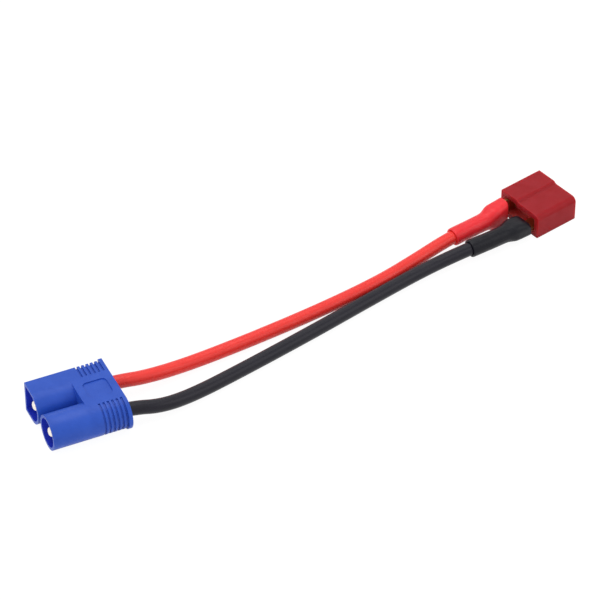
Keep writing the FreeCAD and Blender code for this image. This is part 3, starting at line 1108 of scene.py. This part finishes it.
@dataclass
class SocketShell:
    """The dark red socket: a block with a stepped top, a rear recess and two blade pockets.

    Args:
        place: The middle of its rear face, in millimetres.
        turn: Its turn about Z, in degrees.
        length: Its length.
        width: Its width.
        height: The height of its far half.
        step_at: Where the top's step starts.
        step_run: How wide the step is.
        step_drop: How much lower the near half is.
        side_round: The radius of its near top edge.
        edge_round: The radius of its other long edges.
        small_round: The radius of all the rest, but not of the recess's floor.
        rim: The wall round the rear recess.
        recess: The recess's depth.
        partition: The wall between the recess and the pockets.
        pockets: The y0, y1, z0 and z1 of each blade's pocket.
        passages: The same four for each tab's way through the partition.
        finish: Its nylon.
        inner_painted_lighting: The paler red inside the recess, which is painted light.
    """

    place: tuple[float, float, float] = (142.75, 25.45, 0.0)
    turn: float = 14.0
    length: float = 14.9
    width: float = 16.2
    height: float = 8.4
    step_at: float = 0.7
    step_run: float = 0.7
    step_drop: float = 0.6
    side_round: float = 1.7
    edge_round: float = 0.35
    small_round: float = 0.18
    rim: float = 1.7
    recess: float = 3.2
    partition: float = 1.8
    pockets: Sequence[tuple[float, float, float, float]] = (
        (3.75, 5.95, 0.95, 7.65),
        (-7.40, -0.70, 1.75, 3.95),
    )
    passages: Sequence[tuple[float, float, float, float]] = (
        (4.95, 5.95, 2.15, 6.45),
        (-6.20, -1.90, 1.75, 2.75),
    )
    finish: MouldedNylon = SOCKET_NYLON
    # Paler red for the recess: painted light.
    inner_painted_lighting: MouldedNylon = RECESS_PAINTED_LIGHT

    def cut_line(self, place: Sequence[float], across: Sequence[float]) -> None:
        """Cuts the selected faces along a plane that is placed in millimetres."""
        bpy.ops.mesh.bisect(plane_co=[value * MM for value in place], plane_no=across)

    def cut_frame(self, piece: bpy.types.Object, x: float, window: Sequence[float],
                  keep: Callable[..., bool]) -> None:
        """Cuts a window's four lines into the faces across X that pass a test.

        Args:
            piece: The socket in edit mode.
            x: Where the faces lie, in millimetres.
            window: The window's y0, y1, z0 and z1, in millimetres.
            keep: Says whether a face at x takes part.
        """
        y0, y1, z0, z1 = window
        for place, across in (((x, y0, 0), (0, 1, 0)), ((x, y1, 0), (0, 1, 0)),
                              ((x, 0, z0), (0, 0, 1)), ((x, 0, z1), (0, 0, 1))):
            pick(piece, Part.FACES, lambda face: on_plane(face, x) and keep(face))
            self.cut_line(place, across)

    def block(self) -> bpy.types.Object:
        """Makes the stepped block, with its rear face at x = 0.

        Returns:
            The block's object.
        """
        bpy.ops.object.select_all(action="DESELECT")
        middle = (self.length / 2 * MM, 0.0, self.height / 2 * MM)
        bpy.ops.mesh.primitive_cube_add(size=MM, location=middle)
        piece = bpy.context.active_object
        piece.name = "socket_shell"
        piece.scale = (self.length, self.width, self.height)
        bpy.ops.object.transform_apply(location=True, rotation=True, scale=True)
        with editing(piece):
            for y in (self.step_at, self.step_at + self.step_run):
                bpy.ops.mesh.select_all(action="SELECT")
                self.cut_line((0, y, 0), (0, 1, 0))
            limit = (self.step_at + self.step_run / 2) * MM
            middle_height = self.height / 2 * MM
            pick(piece, Part.CORNERS, lambda c: c.co.y < limit and c.co.z > middle_height)
            bpy.ops.transform.translate(value=(0, 0, -self.step_drop * MM))
        return piece

    def hollow(self, piece: bpy.types.Object) -> None:
        """Sinks the rear recess, the two pockets and the passages between them.

        Args:
            piece: The stepped block.
        """
        floor = self.recess + self.partition
        with editing(piece):
            pick(piece, Part.FACES, lambda face: on_plane(face, 0))
            bpy.ops.mesh.inset(thickness=self.rim * MM, use_even_offset=True)
            bpy.ops.mesh.extrude_region_move(
                TRANSFORM_OT_translate={"value": (self.recess * MM, 0, 0)})
            for window in self.pockets:
                self.cut_frame(piece, self.length, window, lambda face: True)
                pick(piece, Part.FACES, lambda face: inside(face, self.length, window))
                bpy.ops.mesh.extrude_region_move(
                    TRANSFORM_OT_translate={"value": ((floor - self.length) * MM, 0, 0)})
                bpy.ops.mesh.dissolve_faces()
            for pocket, window in zip(self.pockets, self.passages):
                self.cut_frame(piece, self.recess, window,
                               lambda face: face.calc_center_median().y * window[0] > 0)
                self.cut_frame(piece, floor, window, lambda face: inside(face, floor, pocket))
                pick(piece, Part.FACES, lambda face: inside(face, self.recess, window)
                     or inside(face, floor, window))
                bpy.ops.mesh.bridge_edge_loops()

    def dress(self, piece: bpy.types.Object) -> None:
        """Gives the block its finish and paints the recess a paler red as light.

        Args:
            piece: The hollowed block.
        """
        piece.data.materials.append(self.finish.material())
        piece.data.materials.append(self.inner_painted_lighting.material())
        with editing(piece):
            # The recess's walls and floor get the paler red, as painted light.
            pick(piece, Part.FACES, lambda face: in_recess(face, self))
            piece.active_material_index = 1
            bpy.ops.object.material_slot_assign()

    def round_edges(self, piece: bpy.types.Object) -> None:
        """Rounds the near top edge widely, the long edges less and the rest a little.

        Args:
            piece: The hollowed block.
        """
        side = self.width / 2 * MM - 1e-6
        with editing(piece):
            bpy.ops.mesh.select_all(action="SELECT")
            bpy.ops.mesh.dissolve_limited(angle_limit=math.radians(0.5))
            pick(piece, Part.EDGES, lambda edge: all(
                c.co.y < -side and c.co.z > 2 * MM for c in edge.verts) and runs_along(edge, 0))
            bpy.ops.mesh.bevel(offset=self.side_round * MM, segments=10, affect="EDGES")
            pick(piece, Part.EDGES, lambda edge: runs_along(edge, 0) and is_outer(edge, self)
                 and edge.calc_face_angle(0) > math.radians(25))
            bpy.ops.mesh.bevel(offset=self.edge_round * MM, segments=4, affect="EDGES")
            pick(piece, Part.EDGES, lambda edge: edge.calc_face_angle(0) > math.radians(40)
                 and not all(abs(c.co.x - self.recess * MM) < 1e-6 for c in edge.verts))
            bpy.ops.mesh.bevel(offset=self.small_round * MM, segments=3, affect="EDGES",
                               clamp_overlap=True)

    def build(self) -> bpy.types.Object:
        """Returns:
            The socket's object.
        """
        piece = self.block()
        self.hollow(piece)
        self.dress(piece)
        self.round_edges(piece)
        piece.location = [value * MM for value in self.place]
        piece.rotation_euler = (0.0, 0.0, math.radians(self.turn))
        single_out(piece)
        bpy.ops.object.transform_apply(location=True, rotation=True, scale=True)
        finish_shape(piece, 32.0)
        declare(piece, "socket_housing")
        return piece


def on_plane(face: bmesh.types.BMFace, x: float) -> bool:
    """Whether a face lies across X at x millimetres."""
    return all(abs(corner.co.x - x * MM) < 1e-6 for corner in face.verts)


def inside(face: bmesh.types.BMFace, x: float, window: Sequence[float]) -> bool:
    """Whether a face across X lies in a window.

    Args:
        face: The face.
        x: Where it should lie, in millimetres.
        window: The window's y0, y1, z0 and z1, in millimetres.

    Returns:
        True for a face in the window.
    """
    middle = face.calc_center_median() / MM
    y0, y1, z0, z1 = window
    return on_plane(face, x) and y0 < middle.y < y1 and z0 < middle.z < z1


def in_recess(face: bmesh.types.BMFace, socket: SocketShell) -> bool:
    """Whether a face belongs to the walls or the floor of the socket's recess.

    Args:
        face: The face, with the socket's rear face at x = 0.
        socket: The socket's sizes.

    Returns:
        True for a face of the recess.
    """
    middle = face.calc_center_median() / MM
    side = socket.width / 2 - socket.rim + 0.01
    level = 0.01 < middle.z < socket.height - 0.01
    return 0.01 < middle.x < socket.recess + 0.01 and abs(middle.y) < side and level


def runs_along(edge: bmesh.types.BMEdge, axis: int) -> bool:
    """Whether an edge runs along one axis."""
    run = edge.verts[1].co - edge.verts[0].co
    return abs(run[axis]) > 0.999 * run.length


def is_outer(edge: bmesh.types.BMEdge, socket: SocketShell) -> bool:
    """Whether an edge along X belongs to the socket's outer skin.

    Args:
        edge: The edge, with the socket's rear face at x = 0.
        socket: The socket's sizes.

    Returns:
        True for an edge of the outer skin.
    """
    middle = (edge.verts[0].co + edge.verts[1].co) / 2 / MM
    low = socket.height - socket.step_drop - 0.01
    return abs(middle.y) > socket.width / 2 - 0.01 or middle.z < 0.01 or middle.z > low


class FrameDress:
    """Gives each carried-over solid its finish."""

    FINISHES = {
        "positive_bullet_pin": GOLD,
        "negative_bullet_pin": GOLD,
        "positive_spring_cage": SPRING_GOLD,
        "negative_spring_cage": SPRING_GOLD,
        "positive_cup_strands": STRANDS,
        "negative_cup_strands": STRANDS,
        "positive_tab_strands": STRANDS,
        "negative_tab_strands": STRANDS,
        "positive_cup_solder": SOLDER,
        "negative_cup_solder": SOLDER,
        "positive_tab_solder": SOLDER,
        "negative_tab_solder": SOLDER,
        "positive_contact_plate": PLATE_BRASS,
        "negative_contact_plate": PLATE_BRASS,
    }

    def build(self, frame: dict) -> None:
        """Assigns one material per finish to the frame's nodes.
        """
        made: dict[str, bpy.types.Material] = {}
        for node, finish in self.FINISHES.items():
            if finish.name not in made:
                made[finish.name] = finish.material()
            piece = frame["nodes"][node]
            for slot in piece.material_slots:
                slot.material = made[finish.name]
            LOG.info("solid %s in %s", node, finish.name)


def main() -> None:
    """Builds the scene in order."""
    logging.basicConfig(level=logging.INFO, format="%(message)s")
    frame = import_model()
    bpy.ops.object.select_all(action="DESELECT")
    Studio().build()
    Wire("red_wire_cord", "red_wire", "red_silicone", RED_ROUTE, 134.4, RED_SILICONE).build()
    Wire("black_wire_cord", "black_wire", "black_silicone", BLACK_ROUTE, 137.7, BLACK_SILICONE).build()
    Sleeve("red_sleeve", "red_heat_shrink", "red_shrink", RED_ROUTE, RED_RINGS, RED_SHRINK).build()
    Sleeve("black_sleeve", "black_heat_shrink", "black_shrink", BLACK_ROUTE, BLACK_RINGS,
           BLACK_SHRINK).build()
    PlugShell().build(frame)
    SocketShell().build()
    FrameDress().build(frame)


if __name__ == "__main__":
    main()
